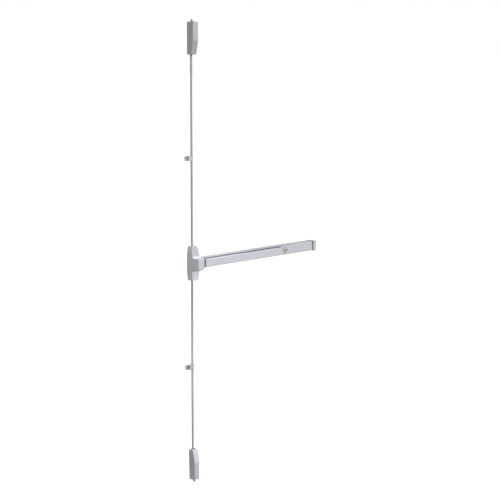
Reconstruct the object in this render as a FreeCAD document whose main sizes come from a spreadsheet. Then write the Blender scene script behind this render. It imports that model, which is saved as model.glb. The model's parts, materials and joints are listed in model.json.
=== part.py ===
import FreeCAD, Part
import math
import os

import Sketcher

# Surface vertical rod exit device for a seven foot door.
# X runs along the push bar, Y = 0 is the face of the door, the device stands on the -Y side of it,
# and Z is up. The origin lies on the door face, on the axis of the rods and the centre line of the bar.

SIZES = {
    # heights from the centre line of the bar
    "top_case_top": 1087.0,
    "bottom_case_foot": 1023.0,
    "upper_guide_height": 479.0,
    "lower_guide_drop": 487.0,
    # rods
    "rod_diameter": 11.0,
    "rod_depth": 9.5,
    "rod_start_gap": 0.8,
    "rod_stud_diameter": 8.0,
    "rod_bore_depth": 15.0,
    "upper_rod_gap": 13.0,
    "lower_rod_insert": 14.0,
    "rod_nut_flats": 13.0,
    "rod_nut_height": 5.2,
    "spigot_gap": 3.0,
    # latch cases, top and bottom alike
    "latch_width": 32.0,
    "latch_depth": 39.5,
    "latch_nose_depth": 26.0,
    "latch_height": 144.0,
    "latch_straight": 83.0,
    "latch_wall": 2.0,
    "latch_edge": 1.2,
    "latch_slot_depth": 17.5,
    "notch_past": 10.0,
    "latch_screw_depth": 18.5,
    "top_screw_place": 55.0,
    "bottom_screw_place": 72.0,
    "latch_hole_across": 20.6,
    "latch_hole_inset": 17.0,
    "latch_hole_diameter": 4.6,
    # bolts and what carries them
    "bolt_depth": 20.0,
    "bolt_throw": 12.5,
    "bolt_head": 50.0,
    "top_bolt_width": 14.0,
    "top_bolt_thick": 12.0,
    "top_bolt_bevel": 6.0,
    "top_bolt_bevel_slope": 1.5,
    "bottom_bolt_diameter": 12.0,
    "bottom_bolt_nose": 5.0,
    "bolt_stem_diameter": 6.4,
    "carrier_place": 88.0,
    "carrier_height": 14.0,
    "carrier_width": 15.0,
    "stem_clip_diameter": 10.0,
    "stem_clip_height": 2.0,
    "stem_past": 3.0,
    "stud_end_gap": 2.0,
    # centre case
    "centre_height": 158.0,
    "centre_end_width": 35.6,
    "centre_mid_width": 48.0,
    "centre_wall": 2.0,
    "upper_lip_depth": 26.0,
    "upper_foot_depth": 37.0,
    "upper_foot_height": 38.0,
    "lower_lip_depth": 32.0,
    "lower_foot_depth": 36.0,
    "lower_foot_height": 38.0,
    "block_front": 73.0,
    "block_top": 25.0,
    "block_bottom": 24.0,
    "block_front_width": 37.0,
    "block_bend_depth": 54.0,
    "block_sweep": 13.0,
    "block_corner": 3.0,
    "block_cut_rise": 20.0,
    "bar_window_lap": 3.0,
    "plate_thickness": 2.5,
    "rod_tab_inset": 7.0,
    "rod_tab_reach": 18.0,
    "rod_tab_margin": 5.0,
    "seat_height": 14.0,
    "seat_reach": 15.0,
    "cover_screw_height": 45.0,
    "cover_screw_depth": 10.5,
    "centre_hole_across": 24.0,
    "centre_hole_inset": 17.0,
    "mount_hole_diameter": 6.4,
    "tongue_end": 44.0,
    "tongue_width": 18.0,
    "tongue_screw_inset": 9.0,
    # bar
    "bar_start": 25.0,
    "bar_end": 786.0,
    "housing_height": 47.0,
    "housing_depth": 41.0,
    "housing_wall": 2.0,
    "housing_lip_depth": 28.0,
    "housing_lip_opening": 38.4,
    "touchbar_start": 43.0,
    "touchbar_end": 547.0,
    "touchbar_height": 37.0,
    "touchbar_front": 58.0,
    "touchbar_wall": 2.0,
    "touchbar_edge": 2.6,
    "touchbar_hook": 2.3,
    "touchbar_cap": 2.4,
    "touch_travel": 13.0,
    "cover_plate_front": 43.0,
    "cover_plate_end": 781.5,
    "cover_plate_wall": 1.8,
    "cover_plate_edge": 1.2,
    "cover_relief_length": 11.0,
    "cover_relief_height": 4.0,
    "end_cap_end": 812.0,
    "end_cap_depth": 45.0,
    "end_cap_step": 1.0,
    "end_cap_wall": 2.0,
    "end_cap_corner": 6.0,
    "end_cap_edge": 1.0,
    "end_bracket_start": 745.0,
    "end_screw_near": 9.0,
    "end_screw_far": 31.0,
    "end_bracket_width": 30.0,
    "end_bracket_reach": 28.0,
    "end_screw_apart": 24.0,
    "end_screw_depth": 20.0,
    "end_hole_place": 797.0,
    "end_hole_apart": 18.0,
    # mechanism
    "front_crank_place": 115.0,
    "rear_crank_place": 465.0,
    "crank_pivot_depth": 14.0,
    "crank_input": 26.0,
    "crank_output": 16.0,
    "crank_plate": 3.0,
    "crank_strip_gap": 0.5,
    "crank_slot_back": 0.3,
    "crank_arm_radius": 4.6,
    "crank_hub_radius": 6.0,
    "pivot_diameter": 6.0,
    "bracket_inside": 20.0,
    "bracket_sheet": 2.2,
    "bracket_width": 14.0,
    "bracket_foot": 28.0,
    "bracket_screw_inset": 3.5,
    "bracket_screw_drop": 6.0,
    "lug_inside": 14.0,
    "lug_sheet": 2.0,
    "lug_width": 10.0,
    "lug_ear_share": 0.8,
    "lug_foot": 18.0,
    "bar_strip": 3.0,
    "bar_strip_width": 11.0,
    "strip_gap": 1.5,
    "strip_margin": 3.0,
    "strip_slot_play": 0.5,
    "strip_tail": 8.0,
    "link_pin_diameter": 4.0,
    "rocker_reach": 15.0,
    "rod_travel": 13.0,
    "rocker_depth": 20.0,
    "rocker_sheet": 3.0,
    "rocker_shoulder_radius": 5.0,
    "rivet_head_height": 0.6,
    "rivet_head_step": 1.4,
    "pin_past": 0.5,
    "slide_depth": 16.0,
    "slide_sheet": 3.0,
    "slide_leg": 12.0,
    "slide_shoulder": 6.0,
    "spring_stub": 8.0,
    "slide_bore_floor": 2.0,
    "boss_radius": 6.4,
    "boss_drop": 26.0,
    "boss_length": 14.0,
    # springs
    "spring_wire": 1.2,
    "spring_gap": 0.6,
    "rod_spring_radius": 4.2,
    "rod_spring_turns": 5.0,
    "bolt_spring_radius": 4.7,
    "bolt_spring_turns": 5.0,
    # key cylinder
    "cylinder_place": 591.0,
    "cylinder_diameter": 27.0,
    "cylinder_barrel": 24.0,
    "cylinder_proud": 1.8,
    "cylinder_back": 14.0,
    "cylinder_edge": 0.8,
    "nut_height": 3.0,
    "nut_rim": 2.0,
    "plug_diameter": 12.6,
    "plug_inset": 0.4,
    "keyway_width": 1.6,
    "keyway_height": 8.0,
    "keyway_depth": 6.0,
    "cam_reach": 15.0,
    "cam_sheet": 2.5,
    # rod guides
    "guide_height": 23.0,
    "guide_outside": 16.0,
    "guide_sleeve": 1.0,
    "guide_flange_end": 37.5,
    "guide_wall_place": 18.0,
    "guide_wall_depth": 10.5,
    "guide_web_share": 0.6,
    "guide_web_rise": 0.8,
    "guide_flange_corner": 4.0,
    "guide_screw_place": 28.0,
    # fasteners and clearances
    "screw_diameter": 4.0,
    "screw_head_diameter": 6.4,
    "screw_head_height": 2.0,
    "screw_crown_share": 0.7,
    "recess_reach_share": 0.62,
    "recess_width_share": 0.16,
    "recess_floor_share": 0.4,
    "recess_top_share": 1.2,
    "screw_past": 1.0,
    "ear_half": 4.0,
    "fit_gap": 0.05,
    "free_gap": 0.3,
    "slot_gap": 0.2,
    "slot_play": 0.9,
}

os.makedirs("parts", exist_ok=True)
doc = FreeCAD.newDocument("vertical_rod_exit_device")
sheet = doc.addObject("Spreadsheet::Sheet", "sizes")


# A size carries its number and the sheet expression that gives it, and sums of sizes carry both too.
class Size:
    def __init__(self, number, text):
        self.number = number
        self.text = text

    def __add__(self, other):
        other = as_size(other)
        return Size(self.number + other.number, f"({self.text} + {other.text})")

    def __sub__(self, other):
        other = as_size(other)
        return Size(self.number - other.number, f"({self.text} - {other.text})")

    def __mul__(self, other):
        other = as_size(other)
        return Size(self.number * other.number, f"({self.text} * {other.text})")

    def __truediv__(self, other):
        other = as_size(other)
        return Size(self.number / other.number, f"({self.text} / {other.text})")

    def __radd__(self, other):
        return as_size(other) + self

    def __rsub__(self, other):
        return as_size(other) - self

    def __rmul__(self, other):
        return as_size(other) * self

    def __neg__(self):
        return Size(-self.number, f"(0 - {self.text})")

    def root(self):
        return Size(math.sqrt(self.number), f"sqrt({self.text})")


def as_size(item):
    if isinstance(item, Size):
        return item
    return Size(float(item), f"({float(item)!r})")


class Sizes:
    pass


s = Sizes()
for row, (name, number) in enumerate(SIZES.items(), start=1):
    sheet.set(f"A{row}", name)
    sheet.set(f"B{row}", str(number))
    sheet.setAlias(f"B{row}", name)
    setattr(s, name, Size(number, "sizes." + name))
doc.recompute()


# A size that follows from others gets its own row and name in the sheet.
def derive(name, size):
    used = len(SIZES) + len(derived) + 1
    sheet.set(f"A{used}", name)
    sheet.set(f"B{used}", "=" + size.text.replace("sizes.", ""))
    sheet.setAlias(f"B{used}", name)
    derived.append(name)
    return Size(size.number, "sizes." + name)


derived = []
V = FreeCAD.Vector
PLANES = {"front": "XZ_Plane", "side": "YZ_Plane", "plan": "XY_Plane"}
CENTRE_POINT = 3
WIRE_SIDES = 6
FLAT = 0.01
NEAR = 0.05
SHORT_EDGE = 5
LONG_EDGE = 20


# Outlines: each function returns one that draws a closed loop in a sketch.
def fix_point(sketch, edge, end, x, y):
    for kind, size in (("DistanceX", x), ("DistanceY", y)):
        size = as_size(size)
        index = sketch.addConstraint(Sketcher.Constraint(kind, -1, 1, edge, end, size.number))
        sketch.setExpression(f"Constraints[{index}]", size.text)


def fix_radius(sketch, edge, radius):
    index = sketch.addConstraint(Sketcher.Constraint("Radius", edge, as_size(radius).number))
    sketch.setExpression(f"Constraints[{index}]", as_size(radius).text)


# A polygon whose points run counterclockwise; bows gives the radius of each side that bulges.
def poly(points, bows=None):
    bows = bows or {}

    def draw(sketch):
        first = sketch.GeometryCount
        spots = [V(as_size(x).number, as_size(y).number, 0) for x, y in points]
        count = len(spots)
        for side in range(count):
            start = spots[side]
            end = spots[(side + 1) % count]
            if side not in bows:
                sketch.addGeometry(Part.LineSegment(start, end))
                continue
            radius = bows[side].number
            half = (end - start) * 0.5
            left = V(-half.y, half.x, 0).normalize()
            centre = start + half + left * math.sqrt(radius * radius - half.Length ** 2)
            turns = [math.atan2(spot.y - centre.y, spot.x - centre.x) for spot in (start, end)]
            if turns[1] < turns[0]:
                turns[1] += math.tau
            circle = Part.Circle(centre, V(0, 0, 1), radius)
            sketch.addGeometry(Part.ArcOfCircle(circle, *turns))
        for side in range(count):
            tie = (first + side, 2, first + (side + 1) % count, 1)
            sketch.addConstraint(Sketcher.Constraint("Coincident", *tie))
        for side in range(count):
            fix_point(sketch, first + side, 1, *points[side])
            if side in bows:
                fix_radius(sketch, first + side, bows[side])

    return draw


def rect(x_low, y_low, x_high, y_high):
    return poly([(x_low, y_low), (x_high, y_low), (x_high, y_high), (x_low, y_high)])


def ring(x, y, radius):
    def draw(sketch):
        edge = sketch.GeometryCount
        centre = V(as_size(x).number, as_size(y).number, 0)
        sketch.addGeometry(Part.Circle(centre, V(0, 0, 1), as_size(radius).number))
        fix_point(sketch, edge, CENTRE_POINT, x, y)
        fix_radius(sketch, edge, radius)

    return draw


# A bar with round ends about two points.
def capsule(x_one, y_one, x_two, y_two, radius):
    def draw(sketch):
        edge = sketch.GeometryCount
        one = V(as_size(x_one).number, as_size(y_one).number, 0)
        two = V(as_size(x_two).number, as_size(y_two).number, 0)
        reach = as_size(radius).number
        turn = math.atan2(two.y - one.y, two.x - one.x)
        side = V(-math.sin(turn), math.cos(turn), 0) * reach
        axis = V(0, 0, 1)
        quarter = math.pi / 2
        arc_one = Part.ArcOfCircle(Part.Circle(one, axis, reach), turn + quarter, turn + 3 * quarter)
        arc_two = Part.ArcOfCircle(Part.Circle(two, axis, reach), turn - quarter, turn + quarter)
        sketch.addGeometry(arc_one)
        sketch.addGeometry(Part.LineSegment(one - side, two - side))
        sketch.addGeometry(arc_two)
        sketch.addGeometry(Part.LineSegment(two + side, one + side))
        for part in range(4):
            tie = (edge + part, 2, edge + (part + 1) % 4, 1)
            sketch.addConstraint(Sketcher.Constraint("Tangent", *tie))
        sketch.addConstraint(Sketcher.Constraint("Equal", edge, edge + 2))
        fix_radius(sketch, edge, radius)
        fix_point(sketch, edge, CENTRE_POINT, x_one, y_one)
        fix_point(sketch, edge + 2, CENTRE_POINT, x_two, y_two)

    return draw


def hexagon(x, y, flats):
    across = as_size(flats) / 2
    half_side = across / math.sqrt(3)
    corner = half_side * 2
    return poly([
        (x - corner, y),
        (x - half_side, y - across),
        (x + half_side, y - across),
        (x + corner, y),
        (x + half_side, y + across),
        (x - half_side, y + across),
    ])


# Features of a body. A front sketch measures depth from the door, a side sketch measures X, a plan
# sketch measures Z, and each feature runs from low to high along that way.
def sketch_on(body, name, plane, offset, loops):
    sketch = body.newObject("Sketcher::SketchObject", name)
    role = PLANES[plane]
    base = [item for item in body.Origin.OriginFeatures if item.Role == role][0]
    sketch.AttachmentSupport = [(base, "")]
    sketch.MapMode = "FlatFace"
    sketch.setExpression("AttachmentOffset.Base.z", as_size(offset).text)
    for loop in loops:
        loop(sketch)
    return sketch


def bind(item, **sizes):
    for key, size in sizes.items():
        item.setExpression(key, as_size(size).text)


def add(body, plane, low, high, *loops):
    number = len(body.Group)
    sketch = sketch_on(body, f"{body.Name}_outline_{number}", plane, low, loops)
    pad = body.newObject("PartDesign::Pad", f"{body.Name}_pad_{number}")
    pad.Profile = sketch
    bind(pad, Length=high - as_size(low))
    doc.recompute()
    return pad


def carve(body, plane, low, high, *loops):
    before = body.Shape.Volume
    number = len(body.Group)
    sketch = sketch_on(body, f"{body.Name}_opening_{number}", plane, low, loops)
    pocket = body.newObject("PartDesign::Pocket", f"{body.Name}_pocket_{number}")
    pocket.Profile = sketch
    pocket.Reversed = True
    bind(pocket, Length=high - as_size(low))
    doc.recompute()
    if body.Shape.Volume >= before:
        raise RuntimeError(f"{pocket.Name} cuts nothing")
    return pocket


def new_body(name, plane, low, high, *loops):
    body = doc.addObject("PartDesign::Body", name)
    body.Label = name
    add(body, plane, low, high, *loops)
    return body


# Edges of the body's last feature that the test picks, rounded or bevelled.
def dress(body, kind, size, test):
    doc.recompute()
    base = body.Tip
    names = [f"Edge{number}" for number, edge in enumerate(base.Shape.Edges, start=1) if test(edge)]
    if not names:
        raise RuntimeError(f"{body.Name} has no edge to dress")
    feature = body.newObject(f"PartDesign::{kind}", f"{body.Name}_{kind.lower()}_{len(body.Group)}")
    feature.Base = (base, names)
    bind(feature, **{"Radius" if kind == "Fillet" else "Size": size})
    doc.recompute()
    return feature


def spans(edge):
    box = edge.BoundBox
    return box.XLength, box.YLength, box.ZLength


def runs_along(edge, axis, least):
    lengths = spans(edge)
    others = [length for index, length in enumerate(lengths) if index != axis]
    return lengths[axis] > as_size(least).number and max(others) < FLAT


def near(number, size):
    return abs(number - as_size(size).number) < NEAR


# Round primitives that stand along an axis, from low to high.
TURNS = {
    "X": FreeCAD.Rotation(V(0, 1, 0), 90),
    "Y": FreeCAD.Rotation(V(1, 0, 0), -90),
    "Z": FreeCAD.Rotation(),
}


def place(item, x, y, z):
    for key, size in (("x", x), ("y", y), ("z", z)):
        item.setExpression(f"Placement.Base.{key}", as_size(size).text)


def cylinder(name, axis, x, y, z, radius, length):
    item = doc.addObject("Part::Cylinder", name)
    item.Placement = FreeCAD.Placement(V(0, 0, 0), TURNS[axis])
    bind(item, Radius=radius, Height=length)
    place(item, x, y, z)
    return item


def box(name, low, high):
    item = doc.addObject("Part::Box", name)
    sides = [as_size(b) - a for a, b in zip(low, high)]
    bind(item, Length=sides[0], Width=sides[1], Height=sides[2])
    place(item, *low)
    return item


def fuse(name, pieces):
    item = doc.addObject("Part::MultiFuse", name)
    item.Shapes = pieces
    item.Refine = True
    item.Label = name
    return item


def cut(name, base, tool):
    item = doc.addObject("Part::Cut", name)
    item.Base = base
    item.Tool = tool
    item.Label = name
    return item


def group(name, pieces):
    item = doc.addObject("Part::Compound", name)
    item.Links = pieces
    item.Label = name
    return item


# A pan head screw whose head sits at the given point and whose shank runs the other way. Screws
# that a cover hides have no cross recess.
def screw(name, axis, way, x, y, z, grip, recess=True):
    radius = s.screw_diameter / 2
    head_radius = s.screw_head_diameter / 2
    head = doc.addObject("Part::Cone", f"{name}_head")
    bind(head, Radius1=head_radius, Radius2=head_radius * s.screw_crown_share, Height=s.screw_head_height)
    shank = doc.addObject("Part::Cylinder", f"{name}_shank")
    bind(shank, Radius=radius, Height=grip)
    place(shank, 0, 0, -as_size(grip))
    if recess:
        cross = []
        reach = head_radius * s.recess_reach_share
        width = head_radius * s.recess_width_share
        for number, (wide, deep) in enumerate(((reach, width), (width, reach))):
            slot = box(
                f"{name}_slot_{number}",
                (-wide, -deep, s.screw_head_height * s.recess_floor_share),
                (wide, deep, s.screw_head_height * s.recess_top_share),
            )
            cross.append(slot)
        item = cut(name, fuse(f"{name}_blank", [head, shank]), fuse(f"{name}_recess", cross))
    else:
        item = fuse(name, [head, shank])
    turn = {
        ("X", 1): FreeCAD.Rotation(V(0, 1, 0), 90),
        ("X", -1): FreeCAD.Rotation(V(0, 1, 0), -90),
        ("Y", -1): FreeCAD.Rotation(V(1, 0, 0), 90),
    }[(axis, way)]
    item.Placement = FreeCAD.Placement(V(0, 0, 0), turn)
    place(item, x, y, z)
    return item


# An arc that leaves the first point along the given way and ends in the second point.
def arc_edge(start, way, end):
    chord = end - start
    side = (chord - way * chord.dot(way)).normalize()
    radius = chord.dot(chord) / (2 * chord.dot(side))
    centre = start + side * radius
    middle = centre + (start + chord * 0.5 - centre).normalize() * radius
    return Part.Arc(start, middle, end)


# Two arcs that join two points, keep the way at each and meet on one tangent.
def biarc(start, way_out, end, way_in):
    reach = end - start
    square = 2 * (way_out.dot(way_in) - 1)
    linear = -2 * reach.dot(way_out + way_in)
    arm = (-linear - math.sqrt(linear * linear - 4 * square * reach.dot(reach))) / (2 * square)
    middle = (start + way_out * arm + end - way_in * arm) * 0.5
    back = arc_edge(end, way_in * -1, middle)
    back.reverse()
    return [arc_edge(start, way_out, middle).toShape(), back.toShape()]


# A wire wound about an upright line, from z low to z high, in arcs of a quarter turn. The section
# is six sided, to keep the faces few.
def spring(name, x, y, low, high, radius, turns):
    rise = derive(f"{name}_rise", high - low - s.spring_wire)
    doc.recompute()
    coil, height, count, wire = [
        float(sheet.get(size.text.replace("sizes.", ""))) for size in (radius, rise, turns, s.spring_wire)
    ]
    slope = height / (math.tau * count)

    def point(turn):
        return V(coil * math.cos(turn), coil * math.sin(turn), slope * turn)

    def way(turn):
        return V(-coil * math.sin(turn), coil * math.cos(turn), slope).normalize()

    steps = round(count * 2)
    stops = [math.tau * count * step / steps for step in range(steps + 1)]
    edges = []
    for one, two in zip(stops, stops[1:]):
        edges += biarc(point(one), way(one), point(two), way(two))
    out = V(1, 0, 0)
    over = way(0).cross(out)
    corners = []
    for number in range(WIRE_SIDES + 1):
        angle = math.tau * number / WIRE_SIDES
        corners.append(point(0) + (out * math.cos(angle) + over * math.sin(angle)) * (wire / 2))
    item = doc.addObject("Part::Feature", name)
    item.Shape = Part.Wire(edges).makePipeShell([Part.makePolygon(corners)], True, False)
    item.Label = name
    place(item, x, y, low + s.spring_wire / 2)
    return item


rod_radius = s.rod_diameter / 2
rod_y = -s.rod_depth
half_press = s.touch_travel / 2
crank_side = derive("crank_side", (s.crank_input * s.crank_input - half_press * half_press).root())
output_x = derive("crank_output_side", s.crank_output * half_press / s.crank_input)
output_y = derive("crank_output_drop", s.crank_output * crank_side / s.crank_input)
half_rod = s.rod_travel / 2
rocker_side = derive("rocker_side", (s.rocker_reach * s.rocker_reach - half_rod * half_rod).root())
drive_reach = derive("drive_reach", output_x * s.rocker_reach / half_rod)
drive_side = derive("drive_side", drive_reach * rocker_side / s.rocker_reach)
link_radius = s.link_pin_diameter / 2
slot_radius = link_radius + s.slot_gap
pin_hole = link_radius + s.fit_gap
pivot_radius = s.pivot_diameter / 2
pivot_hole = pivot_radius + s.fit_gap
screw_hole = s.screw_diameter / 2 + s.fit_gap
strip_y = -(s.crank_pivot_depth + s.crank_output)
metal = s.plate_thickness
case_top = s.centre_height / 2
case_mid = s.centre_mid_width / 2
case_rise = case_mid - s.centre_end_width / 2
case_curve = derive("case_curve", (case_top * case_top + case_rise * case_rise) / (case_rise * 2))
rod_tab = case_top - s.rod_tab_inset
boss_start = rod_tab - s.boss_drop
boss_end = boss_start + s.boss_length
rod_start = boss_end + s.rod_nut_height + s.rod_start_gap


# Half width of the barrel of the centre case at a height, for an outline set in by the inset.
def barrel_half(name, inset, height):
    curve = case_curve - inset
    return derive(name, case_mid - case_curve + (curve * curve - height * height).root())


def barrel(half_end, half_height, curve):
    corners = [(-half_end, half_height), (-half_end, -half_height), (half_end, -half_height),
               (half_end, half_height)]
    return poly(corners, {0: curve, 2: curve})


# Centre case form: a barrel in front view, sloped in side view, with a block that sweeps out of it
# to meet the bar. The inset gives the hollow inside.
def cover_form(name, inset):
    inset = as_size(inset)
    half_height = case_top - inset
    slope = (s.upper_foot_depth - s.upper_lip_depth) / (case_top - s.upper_foot_height)
    sweep_depth = derive(f"{name}_sweep", s.upper_lip_depth + slope * (case_top - s.block_top) - inset)
    front = s.block_front - inset
    body = new_body(
        name, "side", -case_mid - 1, case_mid + 1,
        poly([
            (0, -half_height),
            (0, half_height),
            (-s.upper_lip_depth + inset, half_height),
            (-sweep_depth, s.block_top - inset),
            (-front, s.block_top - inset),
            (-front, -s.block_bottom + inset),
            (-s.lower_foot_depth + inset, -s.lower_foot_height + inset),
            (-s.lower_lip_depth + inset, -half_height),
        ]),
    )
    dress(
        body, "Fillet", s.block_sweep + inset,
        lambda edge: runs_along(edge, 0, SHORT_EDGE)
        and near(edge.BoundBox.YMin, -sweep_depth)
        and near(edge.BoundBox.ZMin, s.block_top - inset),
    )
    half_end = barrel_half(f"{name}_end", inset, half_height)
    far = s.centre_height
    carve(body, "front", -1, s.block_front + 1, rect(-far, -far, far, far),
          barrel(half_end, half_height, case_curve - inset))
    half_front = s.block_front_width / 2 - inset
    bend = s.block_bend_depth - inset
    lean = derive(f"{name}_lean", (case_mid - inset - half_front) / (front - bend))
    for way in (-1, 1):
        carve(
            body, "plan", -s.lower_foot_height - 1, s.upper_foot_height + s.block_cut_rise,
            poly([
                (way * (case_mid - inset), -bend),
                (way * (half_front - lean), -front - 1),
                (way * (case_mid + 2), -front - 1),
                (way * (case_mid + 2), -bend),
            ]),
        )
    return body


def make_centre_cover():
    outer = cover_form("centre_cover_outside", 0)
    dress(
        outer, "Fillet", s.block_corner,
        lambda edge: near(edge.BoundBox.YMin, -s.block_front)
        and near(edge.BoundBox.YMax, -s.block_front)
        and edge.BoundBox.XLength > LONG_EDGE,
    )
    inner = cover_form("centre_cover_inside", s.centre_wall)
    shell = cut("centre_cover_shell", outer, inner)
    tools = []
    for way, label in ((1, "upper"), (-1, "lower")):
        low = case_top - s.centre_wall - 1 if way > 0 else -case_top - 1
        tools.append(new_body(f"{label}_rod_notch", "plan", low, low + s.centre_wall + 2,
                              capsule(0, s.notch_past, 0, rod_y, rod_radius + s.free_gap * 2)))
        tools.append(cylinder(f"{label}_cover_hole", "X", -case_mid - 1, -s.cover_screw_depth,
                              way * s.cover_screw_height, screw_hole + s.slot_gap, s.centre_mid_width + 2))
    window = s.housing_height / 2 - s.housing_wall
    tools.append(box("bar_window", (s.centre_end_width / 2 - s.bar_window_lap, -s.housing_depth, -window),
                     (case_mid + 1, 1, window)))
    cut("centre_cover", shell, fuse("centre_cover_openings", tools))


# Base plate with the barrel outline: tabs that steady the rods, seats for the return springs, ears
# for the cover screws and a tongue that carries the bar housing.
def make_base_plate():
    inset = s.centre_wall + s.free_gap
    half_height = case_top - inset
    plate = new_body(
        "centre_base_plate", "front", 0, metal,
        barrel(barrel_half("base_plate_end", inset, half_height), half_height, case_curve - inset),
        *[ring(x * s.centre_hole_across / 2, z * (case_top - s.centre_hole_inset), s.mount_hole_diameter / 2)
          for x in (-1, 1) for z in (-1, 1)],
    )
    tab_half = rod_radius + s.rod_tab_margin
    screw_low = s.cover_screw_height - s.screw_head_diameter / 2
    wall_x = barrel_half("cover_screw_side", 0, screw_low)
    ear_x = wall_x - s.centre_wall - s.free_gap * 4
    for way in (-1, 1):
        tab = rod_tab if way > 0 else -rod_tab - metal
        add(plate, "plan", tab, tab + metal, rect(-tab_half, -s.rod_tab_reach, tab_half, -metal / 2),
            ring(0, rod_y, rod_radius + s.free_gap))
        seat = s.seat_height if way > 0 else -s.seat_height - metal
        add(plate, "plan", seat, seat + metal, rect(-rod_radius, -s.seat_reach, rod_radius, -metal / 2))
        screw_z = way * s.cover_screw_height
        for side in (-1, 1):
            low = ear_x - metal if side > 0 else -ear_x
            add(plate, "side", low, low + metal,
                rect(-s.cover_screw_depth - s.ear_half, screw_z - s.ear_half,
                     -metal / 2, screw_z + s.ear_half),
                ring(-s.cover_screw_depth, screw_z, screw_hole))
    half_tongue = s.tongue_width / 2
    add(plate, "front", metal, metal * 2, rect(tab_half, -half_tongue, s.tongue_end, half_tongue),
        *[ring(x, z, screw_hole) for x, z in tongue_screws()])

    grip = s.centre_wall + metal + s.screw_past
    group("centre_cover_screws", [
        screw(f"cover_screw_{side}_{way}".replace("-", "m"), "X", side, side * wall_x, -s.cover_screw_depth,
              way * s.cover_screw_height, grip)
        for side in (-1, 1) for way in (-1, 1)
    ])


def make_rocker():
    shoulder = s.rocker_depth - s.free_gap
    back = -s.rocker_depth - s.rocker_sheet
    fuse("rocker_stud", [
        cylinder("rocker_shoulder", "Y", 0, -shoulder, 0, s.rocker_shoulder_radius, shoulder - metal),
        cylinder("rocker_journal", "Y", 0, back - s.free_gap, 0, pivot_radius,
                 s.rocker_sheet + s.free_gap * 2),
        cylinder("rocker_rivet_head", "Y", 0, back - s.free_gap - s.rivet_head_height, 0,
                 pivot_radius + s.rivet_head_step, s.rivet_head_height),
    ])
    near_side = s.rocker_depth
    far_side = s.rocker_depth + s.rocker_sheet
    arm = s.crank_arm_radius
    rocker = new_body("rocker", "front", near_side, far_side,
                      capsule(-rocker_side, half_rod, rocker_side, -half_rod, arm))
    add(rocker, "front", near_side, far_side, capsule(0, 0, output_x, drive_side, arm))
    carve(rocker, "front", near_side - 1, far_side + 1,
          ring(0, 0, pivot_hole),
          ring(-rocker_side, half_rod, pin_hole),
          ring(rocker_side, -half_rod, pin_hole),
          ring(output_x, drive_side, pin_hole))
    pin_length = far_side - s.slide_depth + s.pin_past
    drive_past = s.strip_gap + s.bar_strip + s.pin_past
    group("rocker_pins", [
        cylinder("upper_slide_pin", "Y", -rocker_side, back, half_rod, link_radius, pin_length),
        cylinder("lower_slide_pin", "Y", rocker_side, back, -half_rod, link_radius, pin_length),
        cylinder("drive_pin", "Y", output_x, back - drive_past, drive_side, link_radius,
                 s.rocker_sheet + drive_past),
    ])


# Slide that hangs on the rocker and holds the rod. Way is 1 for the upper one and -1 for the lower
# one, which is the same piece turned half round.
def make_slide(label, way):
    leg_out = -(rocker_side + s.slide_leg / 2)
    leg_in = -(rocker_side - s.slide_leg / 2)
    leg_low = half_rod - s.slide_leg / 2
    top = boss_end
    cross = boss_start - s.boss_length
    side = s.boss_radius
    points = [(leg_out, leg_low), (leg_in, leg_low), (leg_in, cross), (side, cross), (side, top),
              (-side, top), (-side, boss_start), (leg_out, boss_start - s.slide_shoulder)]
    near_side = s.slide_depth
    far_side = s.slide_depth + s.slide_sheet
    slide = new_body(f"{label}_slide", "front", near_side, far_side,
                     poly([(way * x, way * z) for x, z in points]))
    middle = (rocker_side + s.rocker_reach) / 2
    carve(slide, "front", near_side - 1, far_side + 1,
          capsule(-way * (middle + s.slot_play), way * half_rod,
                  -way * (middle - s.slot_play), way * half_rod, slot_radius))
    low = boss_start if way > 0 else -top
    add(slide, "plan", low, low + s.boss_length, ring(0, rod_y, side))
    add(slide, "plan", low, low + s.boss_length,
        rect(-side + 1, -near_side - s.slide_sheet / 2, side - 1, rod_y))
    stub = boss_start - s.spring_stub if way > 0 else -boss_start - 1
    add(slide, "plan", stub, stub + s.spring_stub + 1,
        ring(0, rod_y, s.rod_spring_radius - s.spring_wire / 2 - s.spring_gap))
    bore = boss_start + s.slide_bore_floor if way > 0 else -top - 1
    carve(slide, "plan", bore, bore + s.boss_length - 1, ring(0, rod_y, s.rod_stud_diameter / 2 + s.fit_gap))
    low = s.seat_height + metal if way > 0 else -boss_start
    high = boss_start if way > 0 else -s.seat_height - metal
    spring(f"{label}_return_spring", 0, rod_y, low, high, s.rod_spring_radius, s.rod_spring_turns)


# Rod with a turned spigot at the slide and a bored end that holds the threaded stud.
def make_rod(label, way, case_end, rod_end):
    end = case_end - rod_end
    spigot = s.rod_stud_diameter / 2
    length = end - rod_start
    low = rod_start if way > 0 else -end
    rod = new_body(f"{label}_rod", "plan", low, low + length, ring(0, rod_y, rod_radius))
    reach = rod_start - boss_start - s.spigot_gap
    neck = rod_start - reach if way > 0 else -rod_start - 1
    add(rod, "plan", neck, neck + reach + 1, ring(0, rod_y, spigot))
    bore = end - s.rod_bore_depth if way > 0 else -end - 1
    carve(rod, "plan", bore, bore + s.rod_bore_depth + 1, ring(0, rod_y, spigot + s.fit_gap))
    nut = boss_end if way > 0 else -boss_end - s.rod_nut_height
    new_body(f"{label}_rod_nut", "plan", nut, nut + s.rod_nut_height,
             hexagon(0, rod_y, s.rod_nut_flats), ring(0, rod_y, spigot + s.fit_gap))
    stud_end = case_end - s.carrier_place - s.stud_end_gap
    stud_low = end - s.rod_bore_depth + 1
    stud = stud_low if way > 0 else -stud_end
    new_body(f"{label}_rod_stud", "plan", stud, stud + stud_end - stud_low, ring(0, rod_y, spigot))


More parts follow.
